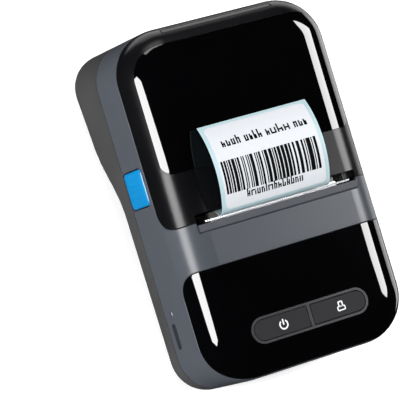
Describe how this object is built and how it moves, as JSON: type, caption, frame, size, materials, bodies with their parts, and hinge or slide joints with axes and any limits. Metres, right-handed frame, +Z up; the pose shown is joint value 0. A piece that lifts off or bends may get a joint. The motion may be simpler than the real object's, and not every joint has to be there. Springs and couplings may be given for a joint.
{
  "type": "thermal label printer",
  "caption": "Portable thermal label printer with a hinged roll cover, geared platen, sprung print head, self-centring roll guides and a side release button.",
  "frame": {"origin": "centre of the bounding box's base, on the plane the four rubber feet stand on", "axes": "+Y from the key end to the hinge end, +Z up, +X to the right seen from the key end; the top face slopes 7 degrees down towards the keys"},
  "size_m": [0.0806, 0.1297, 0.0612],
  "materials": {
    "case_dark": "fine matt texture",
    "case_grey": "fine matt texture",
    "piano_black": "polished",
    "satin_black": "satin",
    "bezel_grey": "satin",
    "key_grey": "satin",
    "inner_black": "moulded",
    "release_blue": "satin",
    "steel": "plated",
    "sheet_steel": "zinc plated",
    "aluminium": "milled",
    "brass": "turned",
    "acetal": "moulded",
    "platen_rubber": "ground",
    "ceramic": "glazed",
    "motor_can": "plated",
    "card_core": "card",
    "label_liner": "silicone paper",
    "label_white": "thermal paper",
    "board_green": "solder mask",
    "battery_wrap": "shrink wrap",
    "ribbon_amber": "polyimide",
    "light_pipe": "clear moulding",
    "foot_rubber": "moulded"
  },
  "bodies": {
    "root": {"lower_housing": "case_dark", "upper_housing": "case_grey", "front_panel": "piano_black", "button_bezel": "bezel_grey", "hinge_pins": "steel", "lid_spring": "steel", "release_spring": "steel", "latch_pin": "steel", "head_springs": "steel", "head_pivot_pin": "steel", "chassis": "sheet_steel", "gear_posts": "steel", "motor": "motor_can", "tear_bar": "steel", "paper_bay": "inner_black", "pinion_screw": "steel", "label_web": "label_liner", "main_board": "board_green", "key_board": "board_green", "tact_switches": "sheet_steel", "usb_port": "steel", "battery": "battery_wrap", "gap_sensor": "inner_black", "head_ribbon": "ribbon_amber", "status_light": "light_pipe", "rubber_feet": "foot_rubber", "housing_screws": "steel", "board_screws": "steel"},
    "cover": {"lid_cover": "satin_black", "lid_window": "piano_black", "lid_frame": "inner_black", "platen_bushes": "acetal", "label_liner": "label_liner", "label_face": "label_white"},
    "platen": {"platen_shaft": "steel", "platen_rubber": "platen_rubber", "platen_gear": "acetal"},
    "idler": {"idler_gear": "acetal"},
    "reduction": {"reduction_gear": "acetal"},
    "pinion": {"motor_pinion": "brass"},
    "roll": {"label_core": "card_core", "label_roll": "label_liner"},
    "left_guide": {"left_roll_guide": "inner_black"},
    "right_guide": {"right_roll_guide": "inner_black"},
    "guide_gear": {"guide_pinion": "acetal"},
    "release": {"release_button": "release_blue"},
    "latch": {"latch_lever": "acetal"},
    "power_key": {"power_button": "key_grey"},
    "feed_key": {"feed_button": "key_grey"},
    "head": {"print_head": "ceramic", "head_heatsink": "aluminium"}
  },
  "joints": [
    {"name": "cover_hinge", "type": "hinge", "parent": "root", "child": "cover", "pos_m": [0.0003, 0.05484, 0.05108], "axis": [-1, 0, 0], "range_deg": [0, 95]},
    {"name": "platen_spin", "type": "hinge", "parent": "cover", "child": "platen", "pos_m": [0.0003, -0.00123, 0.04168], "axis": [1, 0, 0], "continuous": true},
    {"name": "idler_spin", "type": "hinge", "parent": "root", "child": "idler", "pos_m": [0.0003, 0.00059, 0.03083], "axis": [1, 0, 0], "continuous": true},
    {"name": "reduction_spin", "type": "hinge", "parent": "root", "child": "reduction", "pos_m": [0.0003, -0.00735, 0.02778], "axis": [1, 0, 0], "continuous": true},
    {"name": "motor_spin", "type": "hinge", "parent": "root", "child": "pinion", "pos_m": [0.0003, -0.0167, 0.02301], "axis": [1, 0, 0], "continuous": true},
    {"name": "roll_spin", "type": "hinge", "parent": "root", "child": "roll", "pos_m": [0.0003, 0.03234, 0.02917], "axis": [1, 0, 0], "continuous": true},
    {"name": "left_guide_slide", "type": "slide", "parent": "root", "child": "left_guide", "axis": [-1, 0, 0], "range_m": [0, 0.005]},
    {"name": "right_guide_slide", "type": "slide", "parent": "root", "child": "right_guide", "axis": [1, 0, 0], "range_m": [0, 0.005]},
    {"name": "guide_gear_turn", "type": "hinge", "parent": "root", "child": "guide_gear", "pos_m": [0.0003, 0.03515, 0.00635], "axis": [0, -0.1219, 0.9925], "range_deg": [0, 75]},
    {"name": "power_key_press", "type": "slide", "parent": "root", "child": "power_key", "axis": [0, 0.1219, -0.9925], "range_m": [0, 0.0005], "stiffness_N_per_m": 1500, "springref_m": -0.0006},
    {"name": "feed_key_press", "type": "slide", "parent": "root", "child": "feed_key", "axis": [0, 0.1219, -0.9925], "range_m": [0, 0.0005], "stiffness_N_per_m": 1500, "springref_m": -0.0006},
    {"name": "release_press", "type": "slide", "parent": "root", "child": "release", "axis": [1, 0, 0], "range_m": [0, 0.002], "stiffness_N_per_m": 400, "springref_m": -0.001, "deforming": ["release_spring"]},
    {"name": "latch_turn", "type": "hinge", "parent": "root", "child": "latch", "pos_m": [-0.0327, 0.0104, 0.03152], "axis": [0, -0.9925, -0.1219], "range_deg": [0, 16]},
    {"name": "head_tilt", "type": "hinge", "parent": "root", "child": "head", "pos_m": [0.0003, -0.00827, 0.03174], "axis": [1, 0, 0], "range_deg": [0, 1.2], "stiffness_Nm_per_rad": 2, "springref_deg": -11.46, "deforming": ["head_springs"]}
  ],
  "couplings": [
    {"joint": "idler_spin", "follows": "platen_spin", "ratio": -1.2},
    {"joint": "reduction_spin", "follows": "platen_spin", "ratio": 1.7143},
    {"joint": "motor_spin", "follows": "platen_spin", "ratio": -5.4857},
    {"joint": "roll_spin", "follows": "platen_spin", "ratio": 0.26471},
    {"joint": "right_guide_slide", "follows": "left_guide_slide", "ratio": 1},
    {"joint": "guide_gear_turn", "follows": "left_guide_slide", "rad_per_m": 250},
    {"joint": "latch_turn", "follows": "release_press", "rad_per_m": 125}
  ]
}
